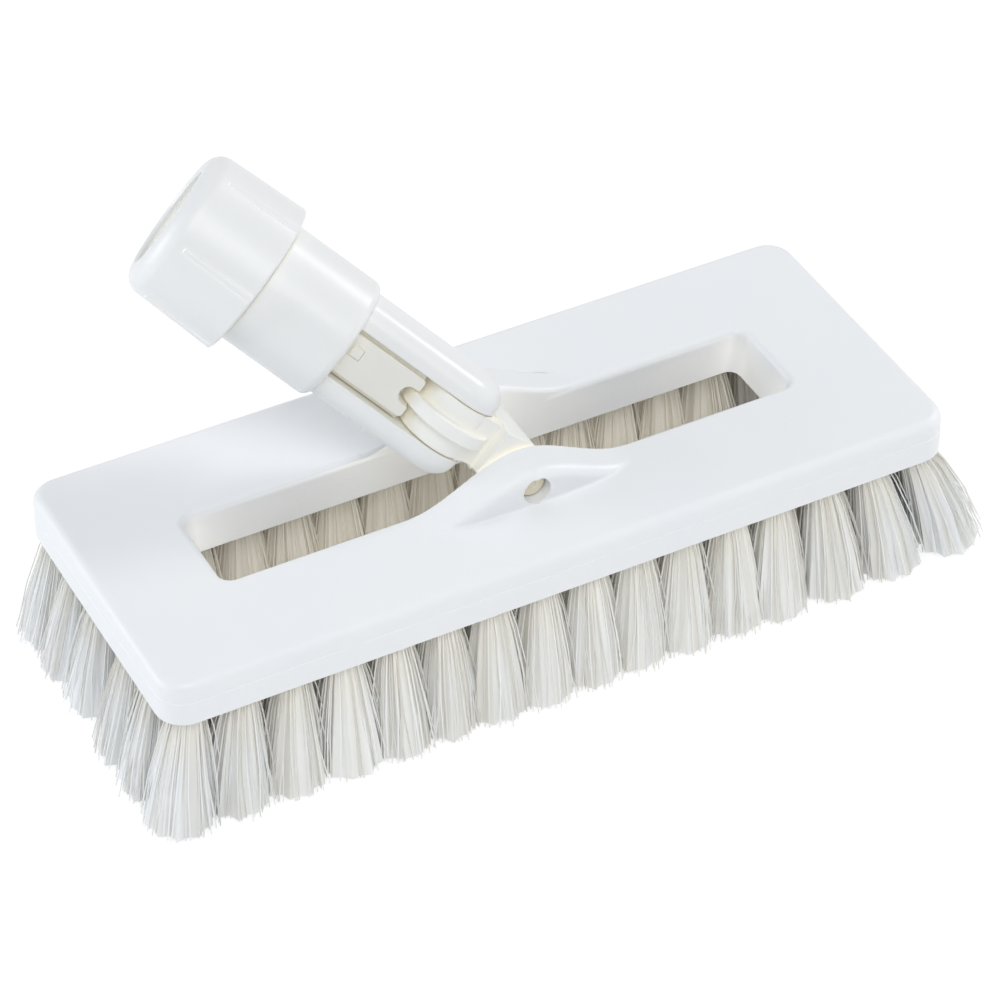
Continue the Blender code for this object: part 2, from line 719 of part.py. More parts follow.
def main():
    clear_scene()
    white = plastic("white_moulding", WHITE_PLASTIC, 0.35)
    warm = plastic("joint_moulding", WARM_PLASTIC, 0.4)
    pin_finish = plastic("pin", PIN_PLASTIC, 0.4)
    bristle = plastic("bristle", BRISTLE_WHITE, 0.5)
    base = empty("brush_base", None, (0, 0, 0))
    swing = empty("swing_pivot", base, (0, 0, BLOCK_TOP + AXLE_HEIGHT), (0, -math.radians(SWING_REST), 0))
    tilt = empty("tilt_pivot", swing, (0, 0, HUB_OFFSET), (-math.radians(TILT_REST), 0, 0))
    slide = empty("plunger_slide", tilt, (0, 0, 0))
    collar_turn = empty("collar_turn", tilt, (0, 0, COLLAR_START))
    build_block(base, white)
    build_tufts(base, bristle)
    build_pins(swing, tilt, pin_finish)
    build_knuckle(swing, warm)
    build_yoke(tilt, white)
    build_plunger(slide, warm)
    build_collar(collar_turn, white)
    stand_on_origin(base)


main()
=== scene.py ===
"""Looks of a white swivel floor brush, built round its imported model.

Lengths are in metres and angles in degrees. The block's long side runs along X, its near rail lies
towards -Y, and the socket leans to the left end and to the back.
"""
import json
import logging
import math
from collections.abc import Callable, Iterator
from contextlib import contextmanager
from dataclasses import dataclass
from enum import Enum

import bmesh
import bpy
import numpy
from bpy.types import Material, Node, NodeSocket, Object
from mathutils import Euler, Matrix, Vector


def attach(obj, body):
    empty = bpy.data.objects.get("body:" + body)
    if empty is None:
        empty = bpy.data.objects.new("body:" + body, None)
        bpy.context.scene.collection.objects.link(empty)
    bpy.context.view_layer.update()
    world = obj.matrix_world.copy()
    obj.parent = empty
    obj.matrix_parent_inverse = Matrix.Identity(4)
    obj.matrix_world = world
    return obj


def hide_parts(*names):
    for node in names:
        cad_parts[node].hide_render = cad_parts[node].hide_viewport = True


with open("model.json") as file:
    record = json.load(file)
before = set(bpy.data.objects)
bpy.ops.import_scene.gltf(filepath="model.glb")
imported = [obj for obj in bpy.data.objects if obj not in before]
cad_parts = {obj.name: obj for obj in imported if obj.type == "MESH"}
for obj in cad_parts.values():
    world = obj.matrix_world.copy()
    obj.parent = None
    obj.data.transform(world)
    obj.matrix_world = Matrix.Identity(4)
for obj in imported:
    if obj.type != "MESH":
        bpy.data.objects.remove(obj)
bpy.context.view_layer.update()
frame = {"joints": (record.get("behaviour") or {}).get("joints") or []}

SMOOTH_ANGLE = math.radians(38)
SHARP_ANGLE = math.radians(40)
FLAT_ANGLE = math.radians(0.5)
GOLDEN_TURN = math.pi * (3 - math.sqrt(5))
OVERRUN = 0.003
WELD = 0.000001
LEVEL = 0.00001
SLIVER = 0.00002
UPRIGHT = 0.9
ARC_STRIPS = 8
EDGE_STRIPS = 3
ORIGIN = (0.0, 0.0, 0.0)
BLACK = (0.0, 0.0, 0.0)
TONE = "tone"
REACH = "reach"
DEPTH = "depth"

BLOCK_LENGTH = 0.2032
BLOCK_WIDTH = 0.080
WINDOW_WIDTH = 0.0235
UNDERSIDE = 0.03175
BORE_RADIUS = 0.003475

Pair = tuple[float, float]
Triple = tuple[float, float, float]

log = logging.getLogger("floor_brush")


class Body(Enum):
    """The rigid bodies that pieces ride on."""

    BRUSH = "brush"
    KNUCKLE = "knuckle"
    SOCKET = "socket"
    PLUNGER = "plunger"
    COLLAR = "collar"


class Slot(Enum):
    """The record's material slots."""

    BLOCK = "block"
    BRISTLE = "bristle"
    PIN = "pin"
    KNUCKLE = "knuckle"
    SOCKET = "socket"
    PLUNGER = "plunger"
    COLLAR = "collar"


class Axis(Enum):
    """The direction that a round piece or a cutter lies in, as its turn from upright."""

    X = (0.0, math.radians(90), 0.0)
    Y = (math.radians(90), 0.0, 0.0)
    Z = (0.0, 0.0, 0.0)


class Fit(Enum):
    """How one shape is combined with another."""

    JOIN = "UNION"
    CUT = "DIFFERENCE"


class Kind(Enum):
    """What is selected in edit mode."""

    POINT = "VERT"
    EDGE = "EDGE"
    FACE = "FACE"


# Operators shared by all pieces


def link(name: str, data: bpy.types.ID) -> Object:
    """Adds an object with ready data to the scene.

    Args:
        name: The object's name.
        data: The mesh, the light or the camera.

    Returns:
        The new object.
    """
    item = bpy.data.objects.new(name, data)
    bpy.context.scene.collection.objects.link(item)
    return item


def activate(piece: Object) -> None:
    """Makes a piece the only selected object and the active one.

    Args:
        piece: The object.
    """
    bpy.ops.object.select_all(action="DESELECT")
    piece.select_set(True)
    bpy.context.view_layer.objects.active = piece


def added(name: str) -> Object:
    """Names the object that was just added, and moves its size and place into its mesh.

    Args:
        name: The object's name.

    Returns:
        The object.
    """
    piece = bpy.context.object
    piece.name = name
    bpy.ops.object.transform_apply()
    return piece


@contextmanager
def editing(piece: Object) -> Iterator[None]:
    """Opens a piece in edit mode, and closes it again.

    Args:
        piece: The mesh object to edit.
    """
    activate(piece)
    bpy.ops.object.mode_set(mode="EDIT")
    yield
    bpy.ops.object.mode_set(mode="OBJECT")


def select(kind: Kind, action: str = "SELECT") -> None:
    """Selects or deselects everything that isn't hidden, in edit mode."""
    bpy.ops.mesh.select_mode(type=kind.value)
    bpy.ops.mesh.select_all(action=action)


def pick(piece: Object, kind: Kind, test: Callable[..., bool]) -> None:
    """Selects only what passes a test, in edit mode.

    Args:
        piece: The mesh object in edit mode.
        kind: What is selected.
        test: Takes a point's place, an edge's two ends, or a face's middle and its normal.
    """
    select(kind, "DESELECT")
    shape = bmesh.from_edit_mesh(piece.data)
    if kind is Kind.POINT:
        found = [point for point in shape.verts if not point.hide and test(point.co)]
    elif kind is Kind.EDGE:
        found = [edge for edge in shape.edges if test(*(end.co for end in edge.verts))]
    else:
        shape.normal_update()
        found = [face for face in shape.faces if test(face.calc_center_median(), face.normal)]
    for item in found:
        item.select_set(True)
    bmesh.update_edit_mesh(piece.data)


def bar(name: str, size: Triple, centre: Triple) -> Object:
    """Adds a bar, from its sides along X, Y and Z and its middle."""
    bpy.ops.mesh.primitive_cube_add(size=1, location=centre, scale=size)
    return added(name)


def rod(
    name: str, radius: float, length: float, centre: Triple, axis: Axis = Axis.Z, sides: int = 96
) -> Object:
    """Adds a rod, from its radius, its length, its middle and the direction it lies in."""
    bpy.ops.mesh.primitive_cylinder_add(
        vertices=sides, radius=radius, depth=length, location=centre, rotation=axis.value
    )
    return added(name)


def turned(name: str, profile: list[Pair], sides: int = 96) -> Object:
    """Turns a closed piece round Z by extruding and resizing one ring after another.

    Args:
        name: The object's name.
        profile: Radius and height of each ring, none on the axis. The first ring joins the last.
        sides: How many flats it is made of.

    Returns:
        The new object.
    """
    radius, height = profile[0]
    bpy.ops.mesh.primitive_circle_add(vertices=sides, radius=radius, location=(0, 0, height))
    piece = added(name)
    with editing(piece):
        select(Kind.EDGE)
        for next_radius, next_height in [*profile[1:], profile[0]]:
            bpy.ops.mesh.extrude_edges_move()
            bpy.ops.transform.translate(value=(0, 0, next_height - height))
            share = next_radius / radius
            bpy.ops.transform.resize(value=(share, share, 1), center_override=(0, 0, next_height))
            radius, height = next_radius, next_height
        select(Kind.EDGE)
        bpy.ops.mesh.remove_doubles(threshold=WELD)
        bpy.ops.mesh.normals_make_consistent(inside=False)
    return piece


def half_round(name: str, radius: float, length: float, axis: Axis, rise: float) -> Object:
    """Adds a rod whose upper half has straight sides instead.

    Args:
        name: The object's name.
        radius: The lower half's radius.
        length: Its length along its axis.
        axis: The direction it lies in.
        rise: How far the straight sides go up from the axis.

    Returns:
        The new object.
    """
    piece = rod(name, radius, length, ORIGIN, axis)
    with editing(piece):
        select(Kind.FACE)
        bpy.ops.mesh.bisect(plane_co=ORIGIN, plane_no=(0, 0, 1), use_fill=True, clear_outer=True)
        pick(piece, Kind.FACE, lambda middle, normal: normal.z > UPRIGHT and abs(middle.z) < WELD)
        extrude(rise)
        select(Kind.FACE)
        bpy.ops.mesh.dissolve_limited(angle_limit=FLAT_ANGLE)
    return piece


def extrude(rise: float) -> None:
    """Draws the picked face out along Z."""
    bpy.ops.mesh.extrude_region_move(TRANSFORM_OT_translate={"value": (0, 0, rise)})


def bevel(width: float, strips: int = ARC_STRIPS) -> None:
    """Rounds the picked edges."""
    bpy.ops.mesh.bevel(offset=width, segments=strips, affect="EDGES")


def recess(steps: list[Pair]) -> None:
    """Draws the picked face in and pushes it out, by each step's two lengths."""
    for inward, outward in steps:
        bpy.ops.mesh.inset(thickness=inward, depth=outward, use_even_offset=True)


def quarter(strips: int = ARC_STRIPS) -> list[Pair]:
    """The points of a quarter circle of radius 1, from X to Y."""
    turns = [math.radians(90) * step / strips for step in range(strips + 1)]
    return [(math.cos(turn), math.sin(turn)) for turn in turns]


def arc_steps(radius: float, rising: bool) -> list[Pair]:
    """Steps for recess() that follow a quarter circle.

    Args:
        radius: The quarter circle's radius.
        rising: True if it starts along the face's normal, as on an outer edge.

    Returns:
        The steps, each as its way in and its way out.
    """
    arc = quarter()
    steps = [(radius * (x - next_x), radius * (next_y - y))
             for (x, y), (next_x, next_y) in zip(arc, arc[1:])]
    return steps if rising else steps[::-1]


def apply_last(piece: Object) -> None:
    """Applies a piece's only modifier."""
    activate(piece)
    bpy.ops.object.modifier_apply(modifier=piece.modifiers[-1].name)


def combine(piece: Object, other: Object, fit: Fit) -> None:
    """Joins another shape to a piece or cuts it out, and removes the other shape.

    Args:
        piece: The piece that is kept.
        other: The shape that is used up.
        fit: Whether it is joined or cut.
    """
    step = piece.modifiers.new(fit.value, "BOOLEAN")
    step.operation = fit.value
    step.solver = "EXACT"
    step.object = other
    apply_last(piece)
    bpy.data.objects.remove(other)


def bore(piece: Object, radius: float, length: float, centre: Triple, axis: Axis) -> None:
    """Cuts a round hole through or into a piece."""
    combine(piece, rod("bore", radius, length, centre, axis), Fit.CUT)


def tidy_mesh(piece: Object) -> None:
    """Merges the stray short edges and flat splits that a cut or a join leaves.

    Args:
        piece: The piece to tidy.
    """
    with editing(piece):
        select(Kind.POINT)
        bpy.ops.mesh.remove_doubles(threshold=SLIVER)
        bpy.ops.mesh.dissolve_limited(angle_limit=FLAT_ANGLE)


def break_edges(piece: Object, width: float, strips: int = EDGE_STRIPS) -> None:
    """Rounds all sharp edges.

    Args:
        piece: The piece to round.
        width: The rounding's width.
        strips: How many strips make the rounding.
    """
    step = piece.modifiers.new("edges", "BEVEL")
    step.width = width
    step.segments = strips
    step.angle_limit = SHARP_ANGLE
    step.use_clamp_overlap = False
    apply_last(piece)


def settle(piece: Object, place: Matrix) -> None:
    """Moves a piece's mesh from the frame it was modelled in to its place.

    Args:
        piece: The piece to move.
        place: The frame it was modelled in.
    """
    activate(piece)
    piece.matrix_world = place
    bpy.ops.object.transform_apply()


def even_normals(piece: Object) -> None:
    """Shades a piece smooth, with its large faces kept flat beside their rounded edges.

    Args:
        piece: The piece to shade.
    """
    activate(piece)
    bpy.ops.object.shade_smooth_by_angle(angle=SMOOTH_ANGLE)
    piece.modifiers.new("normals", "WEIGHTED_NORMAL").keep_sharp = True
    apply_last(piece)


# Finishes


class NodeBoard:
    """The nodes of a material or of the world, with short ways to add and to join them."""

    def __init__(self, owner: Material | bpy.types.World) -> None:
        """Opens the nodes.

        Args:
            owner: The new material or the new world.
        """
        owner.use_nodes = True
        self.owner = owner
        self.nodes = owner.node_tree.nodes
        self.shader, self.end = sorted(self.nodes, key=lambda node: "Output" in node.name)

    def give(self, target: NodeSocket, value: object) -> None:
        """Sets a socket to a constant, or links it to a node's output.

        Args:
            target: The socket.
            value: The constant or the output's socket.
        """
        if isinstance(value, NodeSocket):
            self.owner.node_tree.links.new(value, target)
        else:
            target.default_value = value

    def fill(self, node: Node, **values: object) -> None:
        """Gives a node's inputs their values.

        Args:
            node: The node.
            values: Inputs by name in lower case, with underscores for spaces.
        """
        sockets = {item.name.lower().replace(" ", "_"): item for item in reversed(node.inputs)}
        for name, value in values.items():
            self.give(sockets[name], value)

    def add(self, kind: str, *terms: object, **values: object) -> Node:
        """Adds a node.

        Args:
            kind: Blender's name of its type, after ShaderNode.
            terms: The values of its first inputs.
            values: The values of other inputs, as in fill().

        Returns:
            The new node.
        """
        node = self.nodes.new("ShaderNode" + kind)
        for target, term in zip(node.inputs, terms):
            self.give(target, term)
        self.fill(node, **values)
        return node

    def reckon(self, operation: str, *terms: object) -> NodeSocket:
        """Adds a math node.

        Args:
            operation: Blender's name of what it works out.
            terms: What it works with.

        Returns:
            The result's socket.
        """
        node = self.add("Math", *terms)
        node.operation = operation
        return node.outputs["Value"]

    def attribute(self, name: str) -> NodeSocket:
        """Adds a node that reads a mesh attribute.

        Args:
            name: The attribute's name.

        Returns:
            The value's socket.
        """
        node = self.add("Attribute")
        node.attribute_name = name
        return node.outputs["Fac"]

    def mix(
        self, share: NodeSocket, first: Triple | NodeSocket, second: Triple | NodeSocket
    ) -> NodeSocket:
        """Adds a mix of two colours.

        Args:
            share: The socket that says how much of the second colour shows.
            first: A colour or a socket.
            second: A colour or a socket.

        Returns:
            The mixed colour's socket.
        """
        node = self.add("Mix", share)
        node.data_type = "RGBA"
        # Inputs for other types of data have the same names, so the colours are told by their type.
        inputs = [socket for socket in node.inputs if socket.type == "RGBA"]
        for target, colour in zip(inputs, (first, second)):
            self.give(target, colour if isinstance(colour, NodeSocket) else (*colour, 1.0))
        return next(socket for socket in node.outputs if socket.type == "RGBA")

    def spread(
        self, source: NodeSocket, low: float, high: float, to_low: float = 0.0, to_high: float = 1.0
    ) -> NodeSocket:
        """Adds a map from one range to another.

        Args:
            source: The socket to read.
            low: The lowest value read.
            high: The highest value read.
            to_low: What the lowest value becomes.
            to_high: What the highest value becomes.

        Returns:
            The mapped value's socket.
        """
        return self.add("MapRange", source, low, high, to_low, to_high).outputs["Result"]

    def outside_band(self, place: NodeSocket, band: Pair, share: NodeSocket) -> NodeSocket:
        """Raises a share to one wherever Y lies outside a band.

        Args:
            place: The socket of the coordinates.
            band: The band's middle and its half width.
            share: The share, kept as it is inside the band.

        Returns:
            The new share's socket.
        """
        inside = self.reckon("COMPARE", self.add("SeparateXYZ", place).outputs["Y"], *band)
        total = self.reckon("ADD", self.spread(inside, 0.0, 1.0, 1.0, 0.0), share)
        total.node.use_clamp = True
        return total

    def show(self, share: NodeSocket, first: Node, second: Node) -> None:
        """Makes the surface from two shaders.

        Args:
            share: The socket that says how much of the second one shows.
            first: A shader.
            second: A shader.
        """
        blend = self.add("MixShader", share, first.outputs[0], second.outputs[0])
        self.give(self.end.inputs["Surface"], blend.outputs[0])


@dataclass(frozen=True)
class MouldedPlastic:
    """A white moulding: soft gloss with a fine skin from the mould, painted light and shade in its
    hollows, and a painted glow there where one is set.
    """

    name: str
    colour: Triple
    # Painted light and shade for hollows: warmer than the open surface, lighter on most mouldings,
    # darker on the pins.
    painted_crevice_light: Triple
    gloss: Pair = (0.30, 0.42)
    gloss_clouds: Pair = (0.3, 0.7)
    ior: float = 1.49
    cloud_tint: float = 0.35
    cloud_range: Pair = (0.35, 0.75)
    cloud_scale: float = 38.0
    cloud_detail: float = 3.0
    skin_scale: float = 900.0
    skin_detail: float = 2.0
    skin_depth: float = 0.00003
    skin_strength: float = 0.5
    crevice_samples: int = 8
    crevice_reach: float = 0.006
    crevice_range: Pair = (0.3, 0.9)
    crevice_band: Pair | None = None
    own_crevices: bool = False
    # Painted glow: hollows emit their painted crevice light, standing for light passed through the
    # plastic.
    painted_glow: float = 0.0

    def make(self) -> Material:
        """Builds the material.

        Returns:
            The new material.
        """
        board = NodeBoard(bpy.data.materials.new(self.name))
        place = board.add("TexCoord").outputs["Object"]
        noise = board.add("TexNoise", place, scale=self.cloud_scale, detail=self.cloud_detail)
        clouds = noise.outputs["Fac"]
        # Ambient occlusion places the painted crevice light: open_share is 0 deep in hollows and 1
        # on open faces.
        light = board.add("AmbientOcclusion", distance=self.crevice_reach)
        light.samples = self.crevice_samples
        light.only_local = self.own_crevices
        open_share = board.spread(light.outputs["AO"], *self.crevice_range)
        # The band keeps the painted crevice light and glow to the window's walls.
        if self.crevice_band:
            open_share = board.outside_band(place, self.crevice_band, open_share)
        patchy = board.spread(clouds, *self.cloud_range, 0.0, self.cloud_tint)
        tinted = [(a + b) / 2 for a, b in zip(self.colour, self.painted_crevice_light)]
        body = board.mix(patchy, self.colour, tinted)
        skin = board.add("TexNoise", place, scale=self.skin_scale, detail=self.skin_detail)
        bump = board.add("Bump", height=skin.outputs["Fac"])
        board.fill(bump, strength=self.skin_strength, distance=self.skin_depth)
        # Base colour: the painted crevice light in hollows, the patchy moulding colour on open
        # faces.
        board.fill(
            board.shader,
            base_color=board.mix(open_share, self.painted_crevice_light, body),
            roughness=board.spread(clouds, *self.gloss_clouds, *self.gloss),
            ior=self.ior,
            normal=bump.outputs["Normal"],
        )
        # Painted glow: only the hollows emit, in the painted crevice light colour.
        if self.painted_glow:
            painted_glow_colour = board.mix(open_share, self.painted_crevice_light, BLACK)
            board.fill(board.shader, emission_color=painted_glow_colour, emission_strength=self.painted_glow)
        return board.owner


@dataclass(frozen=True)
class BristleFibre:
    """A frosted filament, each of its own tone, with painted shade toward its root and painted warm
    light on tufts inside the brush.
    """

    name: str
    bright: Triple
    dull: Triple
    # Painted shade: the colour at the roots, under the block.
    root: Triple
    # Painted light: the warm colour of tufts inside the brush, also used for their glow.
    inside: Triple
    root_reach: float = 0.55
    inside_share: float = 0.85
    gloss: float = 0.38
    ior: float = 1.53
    # Painted glow: tufts inside the brush emit their painted warm light.
    painted_glow: float = 0.020

    def make(self) -> Material:
        """Builds the material.

        Returns:
            The new material.
        """
        board = NodeBoard(bpy.data.materials.new(self.name))
        tone, reach, depth = [board.attribute(name) for name in (TONE, REACH, DEPTH)]
        fibre = board.mix(tone, self.dull, self.bright)
        # Painted shade toward the roots, painted warm light on tufts inside the brush.
        rooted = board.mix(board.spread(reach, 0.0, self.root_reach), self.root, fibre)
        share = board.spread(depth, 0.0, 1.0, 0.0, self.inside_share)
        board.fill(
            board.shader,
            base_color=board.mix(share, rooted, self.inside),
            roughness=self.gloss,
            ior=self.ior,
            emission_color=board.mix(share, BLACK, self.inside),
            emission_strength=self.painted_glow,
        )
        return board.owner


# Places


@dataclass(frozen=True)
class JointFrames:
    """The frames that the pieces are modelled in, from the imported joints."""

    base: Matrix
    swing: Matrix
    tilt: Matrix

    @classmethod
    def read(cls, joints: list[dict]) -> "JointFrames":
        """Works the frames out.

        Args:
            joints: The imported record's joints.

        Returns:
            The brush's frame on the floor, the axle's and the tilt pin's.
        """
        named = {joint["name"]: joint for joint in joints}
        axle = Vector(named["swing"]["pos_m"])
        pin = Vector(named["tilt"]["pos_m"])
        across = -Vector(named["tilt"]["axis"]).normalized()
        back = Vector((0, 1, 0))
        along = Vector(named["plunger_slide"]["axis"]).normalized()
        return cls(
            base=Matrix.Translation((axle.x, axle.y, 0)),
            swing=cls.placed(axle, across, back, across.cross(back)),
            tilt=cls.placed(pin, across, along.cross(across), along),
        )

    @staticmethod
    def placed(origin: Vector, x: Vector, y: Vector, z: Vector) -> Matrix:
        """A frame from its origin and its three directions."""
        turn = Matrix((x, y, z)).transposed().to_4x4()
        return Matrix.Translation(origin) @ turn


# Pieces


@dataclass
class Piece:
    """What all pieces share: the frame that they are modelled in, and a finish."""

    place: Matrix
    finish: Material

    def deliver(
        self, piece: Object, body: Body, slot: Slot, node: str, smooth: bool = True
    ) -> None:
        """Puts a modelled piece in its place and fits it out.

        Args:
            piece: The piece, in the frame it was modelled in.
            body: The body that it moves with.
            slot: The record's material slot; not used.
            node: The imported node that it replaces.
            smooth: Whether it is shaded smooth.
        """
        settle(piece, self.place)
        if smooth:
            even_normals(piece)
        piece.data.materials.clear()
        piece.data.materials.append(self.finish)
        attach(piece, body.value)
        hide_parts(node)
        piece.data.calc_loop_triangles()
        log.info("%s: %d triangles on %s", piece.name, len(piece.data.loop_triangles), body.value)


@dataclass
class BrushBlock(Piece):
    """The long moulding: its plate with the window, the two ears and the tuft holes."""

    tufts: list[Pair]
    thickness: float = 0.0118
    corner: float = 0.007
    top_fillet: float = 0.0024
    edge_break: float = 0.0005
    parting_step: float = 0.00012
    parting_height: float = 0.0065
    window_length: float = 0.149
    window_corner: float = 0.003
    window_rim: float = 0.002
    window_draft: float = 0.0025
    ear_chord: float = 0.056
    ear_height: float = 0.0092
    ear_gap: float = 0.0229
    ear_thickness: float = 0.0110
    ear_outer_bow: float = 0.002
    ear_inner_bow: float = 0.0006
    ear_outer_round: float = 0.0026
    ear_inner_round: float = 0.0012
    ear_foot_round: float = 0.0008
    ear_foot_share: float = 0.46
    ear_depth: float = 0.010
    ear_sink: float = 0.00002
    ear_cuts: int = 47
    axle_height: float = 0.004
    hole_radius: float = 0.0029
    hole_depth: float = 0.006
    hole_sides: int = 20

    @property
    def top(self) -> float:
        """The height of the flat top face."""
        return UNDERSIDE + self.thickness

    def plate(self) -> Object:
        """Builds the plate, from its broken lower edge to its rounded top edge.

        Returns:
            The plate.
        """
        low = UNDERSIDE + self.edge_break
        high = UNDERSIDE + self.parting_height
        piece = bar("block", (BLOCK_LENGTH, BLOCK_WIDTH, high - low), (0, 0, (low + high) / 2))
        with editing(piece):
            pick(piece, Kind.EDGE, lambda a, b: abs(a.z - b.z) > (high - low) / 2)
            bevel(self.corner)
            pick(piece, Kind.FACE, lambda middle, normal: normal.z > UPRIGHT)
            recess([(self.parting_step, self.parting_step)])
            extrude(self.thickness - self.parting_height - self.parting_step - self.top_fillet)
            recess(arc_steps(self.top_fillet, rising=True))
            pick(piece, Kind.FACE, lambda middle, normal: normal.z < -UPRIGHT)
            recess([(self.edge_break, self.edge_break)])
        return piece

    def window_space(self) -> Object:
        """Builds the window's space: a rounded rim on top, and ends that draw in below.

        Returns:
            The space, to be cut out.
        """
        length = self.window_length + 2 * self.window_rim
        width = WINDOW_WIDTH + 2 * self.window_rim
        piece = bar("window_space", (length, width, OVERRUN), (0, 0, self.top + OVERRUN / 2))
        with editing(piece):
            pick(piece, Kind.EDGE, lambda a, b: abs(a.z - b.z) > OVERRUN / 2)
            bevel(self.window_corner + self.window_rim)
            pick(piece, Kind.FACE, lambda middle, normal: normal.z < -UPRIGHT)
            recess(arc_steps(self.window_rim, rising=False))
            extrude(-(self.thickness - self.window_rim + OVERRUN))
            share = 1 - 2 * self.window_draft / self.window_length
            bpy.ops.transform.resize(value=(share, 1, 1), center_override=(0, 0, 0))
        return piece

    def swell(
        self, piece: Object, kept: Callable[[Vector], bool], push: Triple, falloff: str
    ) -> None:
        """Pushes an ear's middle, and the rest of it less and less toward its ends.

        Args:
            piece: The ear in edit mode.
            kept: Tells of a point whether it stays where it is.
            push: How far the middle moves.
            falloff: Blender's name of the way that the push fades.
        """
        pick(piece, Kind.POINT, kept)
        bpy.ops.mesh.hide(unselected=False)
        pick(piece, Kind.POINT, lambda point: abs(point.x) < WELD)
        bpy.ops.transform.translate(
            value=push,
            use_proportional_edit=True,
            proportional_edit_falloff=falloff,
            proportional_size=self.ear_chord / 2,
        )
        bpy.ops.mesh.reveal(select=False)

    def ear(self, side: int) -> Object:
        """Builds one ear: a wall that swells up out of a rail like a bell.

        Args:
            side: -1 for the near ear, 1 for the far one.

        Returns:
            The ear, to be joined to the plate.
        """
        inner = self.ear_gap / 2 + self.ear_inner_bow
        outer = self.ear_gap / 2 + self.ear_thickness - self.ear_outer_bow
        middle = (inner + outer) / 2
        foot = self.top - self.ear_depth
        height = self.ear_depth - self.ear_sink
        size = (self.ear_chord, outer - inner, height)
        piece = bar("ear", size, (0, side * middle, foot + height / 2))
        with editing(piece):
            pick(piece, Kind.EDGE, lambda a, b: abs(a.x - b.x) > self.ear_chord / 2)
            bpy.ops.mesh.subdivide(number_cuts=self.ear_cuts)
            rise = (0, 0, self.ear_height + self.ear_sink)
            self.swell(piece, lambda point: point.z < foot + WELD, rise, "SMOOTH")
            bowed = outer + self.ear_outer_bow
            for kept, push in ((inner, self.ear_outer_bow), (bowed, -self.ear_inner_bow)):
                self.swell(
                    piece,
                    lambda point: abs(side * point.y - kept) < WELD,
                    (0, side * push, 0),
                    "INVERSE_SQUARE",
                )
            for beyond, rounding in ((1, self.ear_outer_round), (-1, self.ear_inner_round)):
                pick(
                    piece,
                    Kind.EDGE,
                    lambda a, b: min(a.z, b.z) > foot + height / 2
                    and min(beyond * (side * end.y - middle) for end in (a, b)) > OVERRUN,
                )
                bevel(rounding)
        return piece

    def round_feet(self, block: Object) -> None:
        """Rounds the inner corners where the ears' outer faces rise from the rails.

        Args:
            block: The plate with its ears.
        """
        near = self.ear_gap / 2 + self.ear_thickness / 2
        far = BLOCK_WIDTH / 2 - self.ear_thickness
        with editing(block):
            pick(
                block,
                Kind.EDGE,
                lambda *ends: all(
                    abs(end.z - self.top) < LEVEL
                    and abs(end.x) < self.ear_chord * self.ear_foot_share
                    and near < abs(end.y) < far
                    for end in ends
                ),
            )
            bevel(self.ear_foot_round)

    def holes(self) -> Object:
        """Builds the tuft holes' space as one mesh of round plugs.

        Returns:
            The plugs, to be cut out.
        """
        depth = self.hole_depth + OVERRUN
        height = UNDERSIDE + self.hole_depth - depth / 2
        x, y = self.tufts[0]
        piece = rod("holes", self.hole_radius, depth, (x, y, height), sides=self.hole_sides)
        with editing(piece):
            select(Kind.EDGE)
            for next_x, next_y in self.tufts[1:]:
                shift = (next_x - x, next_y - y, 0)
                bpy.ops.mesh.duplicate_move(TRANSFORM_OT_translate={"value": shift})
                x, y = next_x, next_y
        return piece

    def build(self) -> None:
        """Builds the moulding and fits it out."""
        block = self.plate()
        combine(block, self.window_space(), Fit.CUT)
        for side in (-1, 1):
            combine(block, self.ear(side), Fit.JOIN)
        tidy_mesh(block)
        self.round_feet(block)
        span = self.ear_gap + 2 * self.ear_thickness + 2 * OVERRUN
        bore(block, BORE_RADIUS, span, (0, 0, self.top + self.axle_height), Axis.Y)
        combine(block, self.holes(), Fit.CUT)
        self.deliver(block, Body.BRUSH, Slot.BLOCK, "brush_block")


@dataclass
class Pin(Piece):
    """A straight plastic pin with broken ends and a gate mark sunk in each."""

    name: str
    node: str
    body: Body
    axis: Axis
    length: float
    radius: float = 0.003175
    sides: int = 64
    chamfer: float = 0.0004
    mark_radius: float = 0.0011
    mark_depth: float = 0.0003

    def build(self) -> None:
        """Builds the pin and fits it out."""
        pin = rod(self.name, self.radius, self.length, ORIGIN, sides=self.sides)
        with editing(pin):
            pick(pin, Kind.FACE, lambda middle, normal: abs(normal.z) > UPRIGHT)
            bpy.ops.mesh.inset(thickness=self.radius / 2, use_individual=True)
            share = self.mark_radius / (self.radius / 2)
            bpy.ops.transform.resize(value=(share, share, 1), center_override=(0, 0, 0))
            depth = self.mark_depth
            bpy.ops.mesh.inset(thickness=depth, depth=-depth, use_individual=True)
            pick(
                pin,
                Kind.EDGE,
                lambda a, b: abs(a.z - b.z) < WELD
                and min(math.hypot(*end.xy) for end in (a, b)) > self.radius - WELD,
            )
            bevel(self.chamfer, EDGE_STRIPS)
        settle(pin, Euler(self.axis.value).to_matrix().to_4x4())
        self.deliver(pin, self.body, Slot.PIN, self.node)


